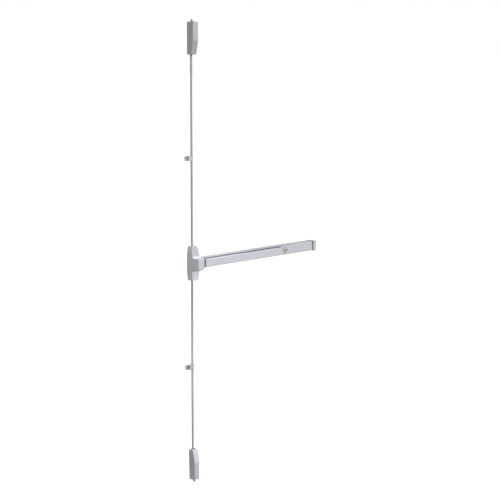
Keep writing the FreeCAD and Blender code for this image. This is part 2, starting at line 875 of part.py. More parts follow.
# Latch and all that its case holds. Distances run from the outer end of the case towards the bar,
# and way is 1 at the head of the door and -1 at its foot.
def make_latch(label, way, case_end, screw_place):
    def at(distance):
        return way * (case_end - distance)

    def span(outer_distance, inner_distance):
        ends = (at(inner_distance), at(outer_distance))
        return ends if way > 0 else ends[::-1]

    half = s.latch_width / 2
    wall = s.latch_wall
    gap = s.free_gap
    slant = derive(f"{label}_slant",
                   (s.latch_depth - s.latch_nose_depth) / (s.latch_height - s.latch_straight))

    def case_profile(inset):
        inset = as_size(inset)
        return poly([
            (0, at(inset)),
            (0, at(s.latch_height - inset)),
            (-s.latch_nose_depth + inset - slant * inset, at(s.latch_height - inset)),
            (-s.latch_depth + inset, at(s.latch_straight)),
            (-s.latch_depth + inset, at(inset)),
        ])

    cover = new_body(f"{label}_latch_cover", "side", -half, half, case_profile(0))
    dress(
        cover, "Fillet", s.latch_edge,
        lambda edge: edge.BoundBox.XLength < FLAT
        and edge.BoundBox.YMax < -s.latch_nose_depth.number + NEAR
        and edge.BoundBox.ZLength > LONG_EDGE,
    )
    carve(cover, "side", -half + wall, half - wall, case_profile(wall))
    low, high = span(s.latch_height - wall - 1, s.latch_height + 1)
    carve(cover, "plan", low, high, capsule(0, s.notch_past, 0, -s.latch_slot_depth, rod_radius + gap * 2))
    half_bolt = s.top_bolt_width / 2
    half_thick = s.top_bolt_thick / 2
    round_bolt = s.bottom_bolt_diameter / 2
    if way > 0:
        opening = rect(-half_bolt - gap, -s.bolt_depth - half_thick - gap, half_bolt + gap,
                       -s.bolt_depth + half_thick + gap)
    else:
        opening = ring(0, -s.bolt_depth, round_bolt + gap)
    low, high = span(-1, wall + 1)
    carve(cover, "plan", low, high, opening)
    screw_z = at(screw_place)
    carve(cover, "side", -half - 1, half + 1, ring(-s.latch_screw_depth, screw_z, screw_hole + s.slot_gap))

    plate_half = half - wall - gap
    rows = [s.latch_hole_inset, s.latch_height - s.latch_hole_inset]
    plate_low, plate_high = span(wall + gap, s.latch_height - wall - gap)
    plate = new_body(
        f"{label}_latch_plate", "front", 0, metal, rect(-plate_half, plate_low, plate_half, plate_high),
        *[ring(x * s.latch_hole_across / 2, at(row), s.latch_hole_diameter / 2)
          for x in (-1, 1) for row in rows],
    )
    for side in (-1, 1):
        low = plate_half - metal if side > 0 else -plate_half
        add(plate, "side", low, low + metal,
            rect(-s.latch_screw_depth - s.ear_half, screw_z - s.ear_half, -metal / 2, screw_z + s.ear_half),
            ring(-s.latch_screw_depth, screw_z, screw_hole))
    grip = wall + metal + s.screw_past
    group(f"{label}_latch_screws", [
        screw(f"{label}_latch_screw_{number}", "X", side, side * half, -s.latch_screw_depth, screw_z, grip)
        for number, side in enumerate((-1, 1))
    ])

    stem = s.bolt_stem_diameter / 2
    low, high = span(s.carrier_place, s.carrier_place + s.carrier_height)
    new_body(
        f"{label}_bolt_carrier", "plan", low, high,
        rect(-s.carrier_width / 2, -s.bolt_depth - s.carrier_width / 2,
             s.carrier_width / 2, -metal - gap * 2),
        ring(0, rod_y, s.rod_stud_diameter / 2 + s.fit_gap),
        ring(0, -s.bolt_depth, stem + s.slot_gap),
    )
    tip = -s.bolt_throw
    low, high = span(tip, s.bolt_head)
    if way > 0:
        bolt = new_body("top_bolt", "plan", low, high,
                        rect(-half_bolt, -s.bolt_depth - half_thick, half_bolt, -s.bolt_depth + half_thick))
        front = -s.bolt_depth - half_thick
        bevel = s.top_bolt_bevel
        shoulder = at(tip + bevel * s.top_bolt_bevel_slope)
        carve(bolt, "side", -half_bolt - 1, half_bolt + 1,
              poly([(front - 1, shoulder), (front, shoulder),
                    (front + bevel, at(tip)), (front + bevel, at(tip - 1)), (front - 1, at(tip - 1))]))
    else:
        bolt = new_body("bottom_bolt", "plan", low, high, ring(0, -s.bolt_depth, round_bolt))
        dress(bolt, "Fillet", s.bottom_bolt_nose,
              lambda edge: near(edge.BoundBox.ZMin, at(tip)) and near(edge.BoundBox.ZMax, at(tip)))
    clip = s.carrier_place + s.carrier_height + gap
    low, high = span(s.bolt_head - 1, clip + s.stem_clip_height + s.stem_past)
    add(bolt, "plan", low, high, ring(0, -s.bolt_depth, stem))
    low, high = span(clip, clip + s.stem_clip_height)
    add(bolt, "plan", low, high, ring(0, -s.bolt_depth, s.stem_clip_diameter / 2))
    low, high = span(s.bolt_head, s.carrier_place)
    spring(f"{label}_bolt_spring", 0, -s.bolt_depth, low, high, s.bolt_spring_radius, s.bolt_spring_turns)


# Guide that keeps a rod near the door: a flange on the door, a shoulder and a ring with a sleeve in it.
def make_guide(label, height):
    low = height - s.guide_height / 2
    high = height + s.guide_height / 2
    outer = s.guide_outside / 2
    side = outer * s.guide_web_share
    guide = new_body(
        f"{label}_rod_guide", "plan", low, high,
        poly([
            (-s.guide_flange_end, -metal),
            (-s.guide_wall_place, -metal),
            (-s.guide_wall_place, -s.guide_wall_depth),
            (-side, rod_y - outer * s.guide_web_rise),
            (0, rod_y),
            (-side, 0),
            (-s.guide_flange_end, 0),
        ]),
    )
    add(guide, "plan", low, high, ring(0, rod_y, outer))
    bore = rod_radius + s.free_gap + s.guide_sleeve
    carve(guide, "plan", low - 1, high + 1, ring(0, rod_y, bore + s.fit_gap))
    dress(guide, "Fillet", s.guide_flange_corner,
          lambda edge: near(edge.BoundBox.XMax, -s.guide_flange_end) and runs_along(edge, 1, 1))
    carve(guide, "front", -1, metal + 1, ring(-s.guide_screw_place, height, screw_hole))
    new_body(f"{label}_guide_sleeve", "plan", low - 1, high + 1,
             ring(0, rod_y, bore), ring(0, rod_y, rod_radius + s.free_gap))
    return screw(f"{label}_guide_screw", "Y", -1, -s.guide_screw_place, -metal, height, metal - s.fit_gap)


def tongue_screws():
    return [(s.tongue_end - s.tongue_screw_inset, way * s.tongue_width / 4) for way in (-1, 1)]


def crank_screws(crank):
    apart = s.bracket_foot / 2 - s.bracket_screw_inset
    return [(crank + way * apart, -s.bracket_screw_drop) for way in (-1, 1)]


def end_screws():
    return [(s.end_bracket_start + place, as_size(0)) for place in (s.end_screw_near, s.end_screw_far)]


# Screws that hold the brackets to the back of the housing, under one name.
def make_base_screws():
    spots = [(spot, metal) for spot in tongue_screws() + end_screws()]
    for crank in (s.front_crank_place, s.rear_crank_place):
        spots += [(spot, s.bracket_sheet) for spot in crank_screws(crank)]
    screws = []
    for number, ((x, z), thick) in enumerate(spots):
        top = metal + thick
        screws.append(screw(f"base_screw_{number}", "Y", -1, x, -top, z, top - s.fit_gap, recess=False))
    group("base_screws", screws)


# Bar housing: an open channel with lips that hold the push bar and the cover plate.
def make_housing():
    half = s.housing_height / 2
    inside = half - s.housing_wall
    lip = s.housing_lip_opening / 2
    lip_back = s.housing_lip_depth
    lip_front = s.housing_lip_depth + s.housing_wall
    points = [
        (0, -half), (0, half),
        (-s.housing_depth, half), (-s.housing_depth, inside),
        (-lip_front, inside), (-lip_front, lip), (-lip_back, lip), (-lip_back, inside),
        (-metal, inside), (-metal, -inside),
        (-lip_back, -inside), (-lip_back, -lip), (-lip_front, -lip), (-lip_front, -inside),
        (-s.housing_depth, -inside), (-s.housing_depth, -half),
    ]
    housing = new_body("bar_housing", "side", s.bar_start, s.bar_end, poly(points))
    spots = tongue_screws() + end_screws()
    for crank in (s.front_crank_place, s.rear_crank_place):
        spots += crank_screws(crank)
    carve(housing, "front", -1, metal + 1, *[ring(x, z, screw_hole) for x, z in spots])

    front = s.cover_plate_front
    wall = s.cover_plate_wall
    out = inside - s.free_gap
    plate = new_body(
        "cover_plate", "side", s.touchbar_end + 1, s.cover_plate_end,
        poly([
            (-lip_front, out), (-front, out), (-front, -out), (-lip_front, -out),
            (-lip_front, -out + wall), (-front + wall, -out + wall), (-front + wall, out - wall),
            (-lip_front, out - wall),
        ]),
    )
    dress(plate, "Fillet", s.cover_plate_edge,
          lambda edge: runs_along(edge, 0, s.housing_height) and near(edge.BoundBox.YMin, -front))
    carve(plate, "front", front - wall - 1, front + 1,
          ring(s.cylinder_place, 0, s.cylinder_barrel / 2 + s.slot_gap))
    start = s.touchbar_end + 1
    relief = start + s.cover_relief_length
    shoulder = out - s.cover_relief_height
    carve(plate, "front", lip_front - 1, front + 1,
          rect(start - 1, shoulder, relief, out + 1), rect(start - 1, -out - 1, relief, -shoulder))


# Push bar: a channel with hooks that catch behind the lips of the housing, closed by end caps.
def make_touchbar():
    half = s.touchbar_height / 2
    wall = s.touchbar_wall
    front = s.touchbar_front
    hook_front = s.housing_lip_depth - s.free_gap
    hook_back = hook_front - wall
    hook = half + s.touchbar_hook
    points = [
        (-hook_back, hook), (-hook_front, hook), (-hook_front, half), (-front, half),
        (-front, -half), (-hook_front, -half), (-hook_front, -hook), (-hook_back, -hook),
        (-hook_back, -half + wall), (-front + wall, -half + wall), (-front + wall, half - wall),
        (-hook_back, half - wall),
    ]
    cap = s.touchbar_cap
    touchbar = new_body("touchbar", "side", s.touchbar_start + cap, s.touchbar_end - cap, poly(points))
    dress(touchbar, "Fillet", s.touchbar_edge,
          lambda edge: runs_along(edge, 0, s.housing_height) and near(edge.BoundBox.YMin, -front))
    for label, low in (("left", s.touchbar_start), ("right", s.touchbar_end - cap)):
        end = new_body(f"touchbar_{label}_cap", "side", low, low + cap, rect(-front, -half, -hook_back, half))
        dress(end, "Fillet", s.touchbar_edge,
              lambda edge: runs_along(edge, 0, 1) and near(edge.BoundBox.YMin, -front))
        if label == "left":
            slot_front = strip_y - s.bar_strip_width / 2 - s.touch_travel - 1
            slot_half = s.bar_strip / 2 + s.free_gap * 2
            carve(end, "side", low - 1, low + cap + 1, rect(slot_front, -slot_half, 1, slot_half))


# Bell crank at x with its pin and bracket, and the lug on the push bar that works it. The crank
# turns on an upright pin; its input slot takes the pin of the lug.
def make_crank(label, x):
    y = -s.crank_pivot_depth
    pin_x = x - crank_side
    pin_y = y - half_press
    out_x = x + output_x
    out_y = y - output_y
    low = s.bar_strip / 2 + s.crank_strip_gap
    high = low + s.crank_plate
    arm = s.crank_arm_radius
    hub_half = s.bracket_inside / 2 - s.free_gap
    crank = new_body(f"{label}_crank", "plan", -hub_half, hub_half, ring(x, y, s.crank_hub_radius))
    add(crank, "plan", low, high, capsule(x, y, pin_x, pin_y, arm))
    add(crank, "plan", low, high, capsule(x, y, out_x, out_y, arm))
    play = s.slot_play / s.crank_input
    carve(crank, "plan", low - 1, high + 1,
          capsule(pin_x - crank_side * play * s.crank_slot_back,
                  pin_y - half_press * play * s.crank_slot_back,
                  pin_x + crank_side * play, pin_y + half_press * play, slot_radius))
    carve(crank, "plan", low - 1, high + 1, ring(out_x, out_y, pin_hole))
    carve(crank, "plan", -hub_half - 1, hub_half + 1, ring(x, y, pivot_hole))
    pin_low = -s.bar_strip / 2 - 2
    link = cylinder(f"{label}_crank_pin", "Z", out_x, out_y, pin_low, link_radius, high - pin_low)
    link.Label = f"{label}_crank_pin"

    inside = s.bracket_inside / 2
    sheet_metal = s.bracket_sheet
    half_width = s.bracket_width / 2
    half_foot = s.bracket_foot / 2
    foot = new_body(
        f"{label}_crank_bracket", "front", metal, metal + sheet_metal,
        rect(x - half_foot, -inside - sheet_metal, x + half_foot, inside + sheet_metal),
        *[ring(spot_x, spot_z, screw_hole) for spot_x, spot_z in crank_screws(x)],
    )
    for ear in (-inside - sheet_metal, inside):
        add(foot, "plan", ear, ear + sheet_metal,
            rect(x - half_width, y - half_width, x + half_width, -metal - sheet_metal / 2),
            ring(x, y, pivot_hole))
    pivot_half = inside + sheet_metal + 1
    pivot = cylinder(f"{label}_pivot_pin", "Z", x, y, -pivot_half, pivot_radius, pivot_half * 2)

    lug_inside = s.lug_inside / 2
    lug = s.lug_sheet
    half_lug = s.lug_width / 2
    base = s.touchbar_front - s.touchbar_wall
    half_base = lug_inside + lug * 3
    bracket = new_body(f"{label}_lug", "front", base - lug, base,
                       rect(pin_x - s.lug_foot / 2, -half_base, pin_x + s.lug_foot / 2, half_base))
    for ear in (-lug_inside - lug, lug_inside):
        add(bracket, "plan", ear, ear + lug,
            rect(pin_x - half_lug, -base + lug / 2, pin_x + half_lug, pin_y + half_lug * s.lug_ear_share),
            ring(pin_x, pin_y, pin_hole))
    lug_half = lug_inside + lug
    work = cylinder(f"{label}_lug_pin", "Z", pin_x, pin_y, -lug_half, link_radius, lug_half * 2)
    return pivot, work


# Actuator strip that joins the cranks to the rocker, with an upright plate at its end.
def make_actuator():
    half = s.bar_strip / 2
    half_width = s.bar_strip_width / 2
    plate_half = slot_radius + s.strip_margin
    slots = []
    for crank in (s.front_crank_place, s.rear_crank_place):
        x = crank + output_x
        middle = strip_y + (s.crank_output - output_y) / 2
        slots.append(capsule(x, middle - s.strip_slot_play, x, middle + s.strip_slot_play, slot_radius))
    strip = new_body(
        "actuator_strip", "plan", -half, half,
        rect(output_x - plate_half, strip_y - half_width, s.rear_crank_place + output_x + s.strip_tail,
             strip_y + half_width),
        *slots,
    )
    front = s.rocker_depth + s.rocker_sheet + s.strip_gap
    add(strip, "front", front, front + s.bar_strip,
        rect(output_x - plate_half, -half, output_x + plate_half, drive_reach + plate_half))
    middle = (drive_side + drive_reach) / 2
    carve(strip, "front", front - 1, front + s.bar_strip + 1,
          capsule(output_x, middle - s.slot_play, output_x, middle + s.slot_play, slot_radius))


# End cap over the free end of the bar, with the bracket that holds both to the door.
def make_end_cap():
    half = s.housing_height / 2 + s.end_cap_step
    wall = s.end_cap_wall
    cap = new_body("end_cap", "plan", -half, half,
                   rect(s.bar_end, -s.end_cap_depth, s.end_cap_end, 0))
    dress(cap, "Fillet", s.end_cap_corner,
          lambda edge: near(edge.BoundBox.XMin, s.end_cap_end) and near(edge.BoundBox.YMax, -s.end_cap_depth))
    dress(cap, "Fillet", s.end_cap_edge,
          lambda edge: near(abs(edge.BoundBox.ZMin), half) and edge.BoundBox.ZLength < FLAT
          and edge.BoundBox.YMin < -1)
    inner = half - wall
    carve(cap, "plan", -inner, inner, rect(s.bar_end - 1, -s.end_cap_depth + wall, s.end_cap_end - wall, 1))
    spots = [(-s.end_screw_depth, way * s.end_screw_apart / 2) for way in (-1, 1)]
    carve(cap, "side", s.end_cap_end - wall - 1, s.end_cap_end + 1,
          *[ring(y, z, screw_hole + s.slot_gap) for y, z in spots])

    half_bracket = s.end_bracket_width / 2
    ear_out = s.end_cap_end - wall - s.free_gap
    bracket = new_body(
        "end_bracket", "front", metal, metal * 2,
        rect(s.end_bracket_start, -half_bracket, s.bar_end + metal * 2, half_bracket),
        *[ring(x, z, screw_hole) for x, z in end_screws()],
    )
    add(bracket, "front", 0, metal,
        rect(s.bar_end + s.free_gap, -half_bracket, ear_out, half_bracket),
        *[ring(s.end_hole_place, way * s.end_hole_apart / 2, s.mount_hole_diameter / 2) for way in (-1, 1)])
    add(bracket, "side", ear_out - metal, ear_out,
        rect(-s.end_bracket_reach, -half_bracket, -metal / 2, half_bracket),
        *[ring(y, z, screw_hole) for y, z in spots])
    grip = wall + metal + s.screw_past
    group("end_cap_screws", [
        screw(f"end_cap_screw_{number}", "X", 1, s.end_cap_end, y, z, grip)
        for number, (y, z) in enumerate(spots)
    ])


# Key cylinder in the cover plate: body, ring nut behind the plate, plug and cam.
def make_key_cylinder():
    x = s.cylinder_place
    front = s.cover_plate_front
    face = front + s.cylinder_proud
    back = s.cylinder_back
    plug = s.plug_diameter / 2
    barrel_radius = s.cylinder_barrel / 2
    body = new_body("cylinder_body", "front", back, front, ring(x, 0, barrel_radius))
    add(body, "front", front, face, ring(x, 0, s.cylinder_diameter / 2))
    dress(body, "Chamfer", s.cylinder_edge,
          lambda edge: near(edge.BoundBox.YMin, -face) and near(edge.BoundBox.YMax, -face))
    carve(body, "front", back - 1, face + 1, ring(x, 0, plug + s.fit_gap))
    wall = s.cover_plate_wall
    new_body("cylinder_nut", "front", front - wall - s.nut_height, front - wall,
             ring(x, 0, s.cylinder_diameter / 2 + s.nut_rim), ring(x, 0, barrel_radius + s.fit_gap))
    key_plug = new_body("key_plug", "front", back, face - s.plug_inset, ring(x, 0, plug))
    tail = back - s.cam_sheet - 1
    add(key_plug, "front", tail, back + 1, ring(x, 0, plug / 2))
    half_slot = s.keyway_width / 2
    carve(key_plug, "front", face - s.keyway_depth, face + 1,
          rect(x - half_slot, -s.keyway_height / 2, x + half_slot, s.keyway_height / 2))
    new_body("key_cam", "front", back - s.cam_sheet, back,
             capsule(x, 0, x, -s.cam_reach, plug - 1), ring(x, 0, plug / 2 + s.fit_gap))


make_centre_cover()
make_base_plate()
make_rocker()
for label, way, case_end, rod_end, latch, screw_place in (
    ("upper", 1, s.top_case_top, s.latch_height + s.upper_rod_gap, "top", s.top_screw_place),
    ("lower", -1, s.bottom_case_foot, s.latch_height - s.lower_rod_insert, "bottom", s.bottom_screw_place),
):
    make_slide(label, way)
    make_rod(label, way, case_end, rod_end)
    make_latch(latch, way, case_end, screw_place)
group("guide_screws", [make_guide("upper", s.upper_guide_height), make_guide("lower", -s.lower_guide_drop)])
make_housing()
make_base_screws()
make_touchbar()
make_actuator()
pairs = [make_crank("front", s.front_crank_place), make_crank("rear", s.rear_crank_place)]
group("crank_pivot_pins", [pair[0] for pair in pairs])
group("lug_pins", [pair[1] for pair in pairs])
make_end_cap()
make_key_cylinder()
doc.recompute()

PARTS = [
    "centre_cover", "centre_base_plate", "centre_cover_screws", "rocker_stud", "rocker", "rocker_pins",
    "upper_slide", "upper_return_spring", "upper_rod", "upper_rod_nut", "upper_rod_stud",
    "lower_slide", "lower_return_spring", "lower_rod", "lower_rod_nut", "lower_rod_stud",
    "top_latch_cover", "top_latch_plate", "top_latch_screws", "top_bolt_carrier", "top_bolt",
    "top_bolt_spring",
    "bottom_latch_cover", "bottom_latch_plate", "bottom_latch_screws", "bottom_bolt_carrier",
    "bottom_bolt", "bottom_bolt_spring",
    "upper_rod_guide", "lower_rod_guide", "upper_guide_sleeve", "lower_guide_sleeve", "guide_screws",
    "bar_housing", "cover_plate", "base_screws", "touchbar", "touchbar_left_cap", "touchbar_right_cap",
    "actuator_strip", "front_crank", "front_crank_pin", "rear_crank", "rear_crank_pin",
    "front_crank_bracket", "rear_crank_bracket", "crank_pivot_pins", "front_lug", "rear_lug", "lug_pins",
    "end_cap", "end_bracket", "end_cap_screws",
    "cylinder_body", "cylinder_nut", "key_plug", "key_cam",
]
for item in doc.Objects:
    if "Invalid" in item.State or "Error" in item.State:
        raise RuntimeError(f"{item.Name} failed")
for name in PARTS:
    item = doc.getObject(name)
    shape = item.Shape
    if shape.isNull() or not shape.isValid():
        raise RuntimeError(f"{name} has no valid shape")
    shape.exportStep(f"parts/{name}.step")
print(len(PARTS), "parts written")
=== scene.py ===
import json
import math

import bmesh
import bpy
from mathutils import Matrix, Vector

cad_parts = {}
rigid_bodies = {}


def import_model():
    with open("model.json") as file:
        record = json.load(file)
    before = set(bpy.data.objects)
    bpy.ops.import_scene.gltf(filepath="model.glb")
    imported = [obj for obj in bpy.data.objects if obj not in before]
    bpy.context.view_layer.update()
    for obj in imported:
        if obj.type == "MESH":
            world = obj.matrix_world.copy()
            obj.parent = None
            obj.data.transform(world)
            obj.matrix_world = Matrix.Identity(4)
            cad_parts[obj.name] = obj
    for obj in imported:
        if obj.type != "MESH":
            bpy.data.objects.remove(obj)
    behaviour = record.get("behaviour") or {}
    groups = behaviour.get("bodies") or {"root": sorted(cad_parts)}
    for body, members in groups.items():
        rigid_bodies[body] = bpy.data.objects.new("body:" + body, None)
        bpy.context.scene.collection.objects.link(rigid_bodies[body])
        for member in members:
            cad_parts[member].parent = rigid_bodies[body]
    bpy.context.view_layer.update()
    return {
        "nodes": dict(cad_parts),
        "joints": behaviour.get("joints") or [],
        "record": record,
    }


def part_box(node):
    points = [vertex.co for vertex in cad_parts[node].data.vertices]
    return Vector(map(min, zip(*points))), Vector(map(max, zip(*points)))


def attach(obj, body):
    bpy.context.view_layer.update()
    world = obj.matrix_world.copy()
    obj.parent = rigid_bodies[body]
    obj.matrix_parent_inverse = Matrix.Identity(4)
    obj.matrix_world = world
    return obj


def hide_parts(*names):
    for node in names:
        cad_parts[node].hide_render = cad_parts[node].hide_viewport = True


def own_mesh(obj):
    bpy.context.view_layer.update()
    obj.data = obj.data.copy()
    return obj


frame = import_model()
SLOT_OF_NODE = {part["node"]: part["material_slot"] for part in frame["record"]["subparts"]}
JOINTS = {joint["name"]: joint for joint in frame["joints"]}
MM = 0.001


# Camera, matched to the photograph. Its place is in metres and its turn and drop are those of its aim.
CAMERA_PLACE = Vector((-4.1186, -4.4244, 0.9870))
CAMERA_TURN = math.radians(45.526)
CAMERA_DROP = math.radians(8.732)
CAMERA_ROLL = math.radians(0.129)
FOCAL_PIXELS = 1337.061
IMAGE_SIDE = 500
SENSOR = 36.0
VIEW_DEPTH = 200


def make_camera():
    forward = Vector((
        math.sin(CAMERA_TURN) * math.cos(CAMERA_DROP),
        math.cos(CAMERA_TURN) * math.cos(CAMERA_DROP),
        -math.sin(CAMERA_DROP),
    ))
    level = Vector((math.cos(CAMERA_TURN), -math.sin(CAMERA_TURN), 0))
    up = level.cross(forward)
    right = level * math.cos(CAMERA_ROLL) + up * math.sin(CAMERA_ROLL)
    over = up * math.cos(CAMERA_ROLL) - level * math.sin(CAMERA_ROLL)
    turn = Matrix((right, over, -forward)).transposed().to_4x4()
    data = bpy.data.cameras.new("camera")
    data.sensor_width = SENSOR
    data.sensor_fit = "HORIZONTAL"
    data.lens = FOCAL_PIXELS / IMAGE_SIDE * SENSOR
    data.clip_end = VIEW_DEPTH
    camera = bpy.data.objects.new("camera", data)
    camera.matrix_world = Matrix.Translation(CAMERA_PLACE) @ turn
    bpy.context.scene.collection.objects.link(camera)
    bpy.context.scene.camera = camera


# Sockets of the mix node when it mixes colours: share, first and second colour, and the result.
MIX_INPUTS = (0, 6, 7)
MIX_RESULT = 2
OPENNESS_SAMPLES = 6
BEVEL_SAMPLES = 4
# Cosines between the face and its softened edge: where the worn edge and its painted highlight start, and
# where they are full.
WORN_LIT_EDGE_STARTS, WORN_LIT_EDGE_FULL = 0.99, 0.88
# Part of a normal along an axis from which a face starts to count as looking that way, and where it
# counts in full.
FACING_STARTS, FACING_FULL = 0.7, 0.9


class Tree:
    """The node tree of a new material, with a function for each kind of node."""

    def __init__(self, name):
        self.material = bpy.data.materials.new(name)
        self.material.use_nodes = True
        self.nodes = self.material.node_tree.nodes
        self.links = self.material.node_tree.links
        self.nodes.clear()
        output = self.nodes.new("ShaderNodeOutputMaterial")
        self.shader = self.nodes.new("ShaderNodeBsdfPrincipled")
        self.link(self.shader.outputs["BSDF"], output.inputs["Surface"])
        self.place = self.nodes.new("ShaderNodeTexCoord").outputs["Object"]

    def link(self, source, target):
        self.links.new(source, target)

    # Links the item to the socket where it is a socket too, or else sets the socket to it.
    def feed(self, item, socket):
        if isinstance(item, bpy.types.NodeSocket):
            self.link(item, socket)
        elif socket.type == "RGBA":
            socket.default_value = (*item, 1)
        else:
            socket.default_value = item

    def noise(self, scale, detail, rough, stretch=(1, 1, 1)):
        mapping = self.nodes.new("ShaderNodeMapping")
        mapping.inputs["Scale"].default_value = stretch
        self.link(self.place, mapping.inputs["Vector"])
        noise = self.nodes.new("ShaderNodeTexNoise")
        noise.inputs["Scale"].default_value = scale
        noise.inputs["Detail"].default_value = detail
        noise.inputs["Roughness"].default_value = rough
        self.link(mapping.outputs["Vector"], noise.inputs["Vector"])
        return noise.outputs["Fac"]

    # The value, brought from the stretch between low and high to that between start and end.
    def ramp(self, value, low, high, start, end):
        node = self.nodes.new("ShaderNodeMapRange")
        node.inputs["From Min"].default_value = low
        node.inputs["From Max"].default_value = high
        node.inputs["To Min"].default_value = start
        node.inputs["To Max"].default_value = end
        self.link(value, node.inputs["Value"])
        return node.outputs["Result"]

    def mix(self, share, first, second):
        node = self.nodes.new("ShaderNodeMix")
        node.data_type = "RGBA"
        for number, item in zip(MIX_INPUTS, (share, first, second)):
            self.feed(item, node.inputs[number])
        return node.outputs[MIX_RESULT]

    def math(self, kind, first, second):
        node = self.nodes.new("ShaderNodeMath")
        node.operation = kind
        self.feed(first, node.inputs[0])
        self.feed(second, node.inputs[1])
        return node.outputs[0]

    def bump(self, height, distance, strength, below):
        node = self.nodes.new("ShaderNodeBump")
        node.inputs["Distance"].default_value = distance
        node.inputs["Strength"].default_value = strength
        self.link(height, node.inputs["Height"])
        self.link(below, node.inputs["Normal"])
        return node.outputs["Normal"]

    def split(self, vector):
        node = self.nodes.new("ShaderNodeSeparateXYZ")
        self.link(vector, node.inputs[0])
        return node.outputs

    def normal(self):
        return self.nodes.new("ShaderNodeNewGeometry").outputs["Normal"]

    # Painted shade and light on the colour, by shares: on faces that look forward one share above the level
    # and one as far below it, and on faces that look up a third.
    def painted_front_shade(self, colour, level, fade, above, below, top):
        height = self.split(self.place)["Z"]
        normal = self.split(self.normal())
        forward = self.ramp(normal["Y"], -FACING_STARTS, -FACING_FULL, 0, 1)
        high = self.ramp(height, level, level + fade, 1, above)
        low = self.ramp(height, -level - fade, -level, below, 1)
        painted_top_light = self.ramp(normal["Z"], FACING_STARTS, FACING_FULL, 1, top)
        front_part = self.math("MULTIPLY", forward, self.math("MULTIPLY", high, low))
        other_part = self.math("MULTIPLY", self.math("SUBTRACT", 1, forward), painted_top_light)
        scaled = self.nodes.new("ShaderNodeVectorMath")
        scaled.operation = "SCALE"
        self.link(colour, scaled.inputs[0])
        self.link(self.math("ADD", front_part, other_part), scaled.inputs["Scale"])
        return scaled.outputs[0]

    # How open the surface lies: 1 in the open and towards 0 in gaps and hollows.
    def openness(self, reach):
        node = self.nodes.new("ShaderNodeAmbientOcclusion")
        node.samples = OPENNESS_SAMPLES
        node.inputs["Distance"].default_value = reach
        return node.outputs["AO"]

    # 1 along the edges of the piece, within the reach, and 0 on its faces.
    def edges(self, reach):
        compare = self.nodes.new("ShaderNodeVectorMath")
        compare.operation = "DOT_PRODUCT"
        self.link(self.soft_edge(reach), compare.inputs[0])
        self.link(self.normal(), compare.inputs[1])
        return self.ramp(compare.outputs["Value"], WORN_LIT_EDGE_STARTS, WORN_LIT_EDGE_FULL, 0, 1)

    def soft_edge(self, radius):
        node = self.nodes.new("ShaderNodeBevel")
        node.samples = BEVEL_SAMPLES
        node.inputs["Radius"].default_value = radius
        return node.outputs["Normal"]


def toned(colour, share):
    return tuple(channel * share for channel in colour)


# Patterns of a metal, as noise: clouds, and grain that may be drawn out along an axis.
CLOUDS = {"scale": 14, "detail": 2.0, "rough": 0.5}
GRAIN = {"detail": 2.5, "rough": 0.6}
# Stretch of noise values in which the pattern goes from one tone to the other.
PATTERN = (0.3, 0.7)
# How much darker grain gets than clouds, its share in the colour and the strength of its bumps.
GRAIN_SHADE = 1.6
GRAIN_SHARE = 0.5
GRAIN_STRENGTH = 0.6
# Width of the worn edges with their painted highlight, over the radius of the soft ones.
WORN_LIT_EDGE_WIDTH = 1.6
# Painted shade in gaps: its reach in metres, the openness at which it is full and where it ends, how much
# of it there is, and its tone.
GAP_REACH = 0.008
GAP_CLOSED, GAP_OPEN = 0.15, 0.75
GAP_SHADE = 0.85
GAP_TONE = 0.12


# A metal, paint or plastic: colour clouds, grain, edges lightened by wear and by a painted highlight,
# painted shade in gaps, and fine bumps. The depth of the grain and the radius of soft edges are in
# millimetres. Tone and spread say how far the colour and the roughness vary, the wear share how far the
# edges are rubbed and lit, and shine how light that makes them.
def metal(name, colour, metallic, rough, grain, stretch=(1, 1, 1), grain_depth=0.03, tone=0.06,
          spread=0.08, edge=0.6, wear_and_highlight=0.5, shine=1.3, front=None):
    tree = Tree(name)
    shader = tree.shader
    clouds = tree.noise(**CLOUDS)
    fine = tree.noise(grain, stretch=stretch, **GRAIN)
    clouded = tree.mix(tree.ramp(clouds, *PATTERN, 0, 1), toned(colour, 1 - tone), colour)
    grained = tree.mix(tree.ramp(fine, *PATTERN, 0, 1),
                       toned(colour, 1 - tone * GRAIN_SHADE), toned(colour, 1 + tone))
    body = tree.mix(GRAIN_SHARE, clouded, grained)
    # Edges lightened: partly wear, partly a painted highlight.
    edge_wear_and_highlight = tree.math("MULTIPLY", tree.edges(edge * WORN_LIT_EDGE_WIDTH * MM), wear_and_highlight)
    body_with_lit_worn_edges = tree.mix(edge_wear_and_highlight, body, toned(colour, shine))
    # Gaps and hollows darkened: painted shade.
    painted_gap_shade = tree.ramp(tree.openness(GAP_REACH), GAP_CLOSED, GAP_OPEN, GAP_SHADE, 0)
    final = tree.mix(painted_gap_shade, body_with_lit_worn_edges, toned(colour, GAP_TONE))
    # Painted shade and light by height and facing, for the looks that ask for it.
    if front:
        final = tree.painted_front_shade(final, **front)
    tree.link(final, shader.inputs["Base Color"])
    shader.inputs["Metallic"].default_value = metallic
    roughness = tree.math("ADD", tree.ramp(fine, *PATTERN, -spread / 2, spread / 2), rough)
    tree.link(tree.math("ADD", roughness, tree.ramp(clouds, *PATTERN, -spread / 3, spread / 3)),
              shader.inputs["Roughness"])
    tree.link(tree.bump(fine, grain_depth * MM, GRAIN_STRENGTH, tree.soft_edge(edge * MM)),
              shader.inputs["Normal"])
    return tree.material


ALONG_X = (0.012, 1, 1)
ALONG_Z = (1, 1, 0.012)
SATIN = (0.592, 0.611, 0.650)
BAR = (0.614, 0.634, 0.682)
# Darker satin: the rods' tone, and on the latch covers painted shade.
DARK_SATIN = toned(SATIN, 0.67)

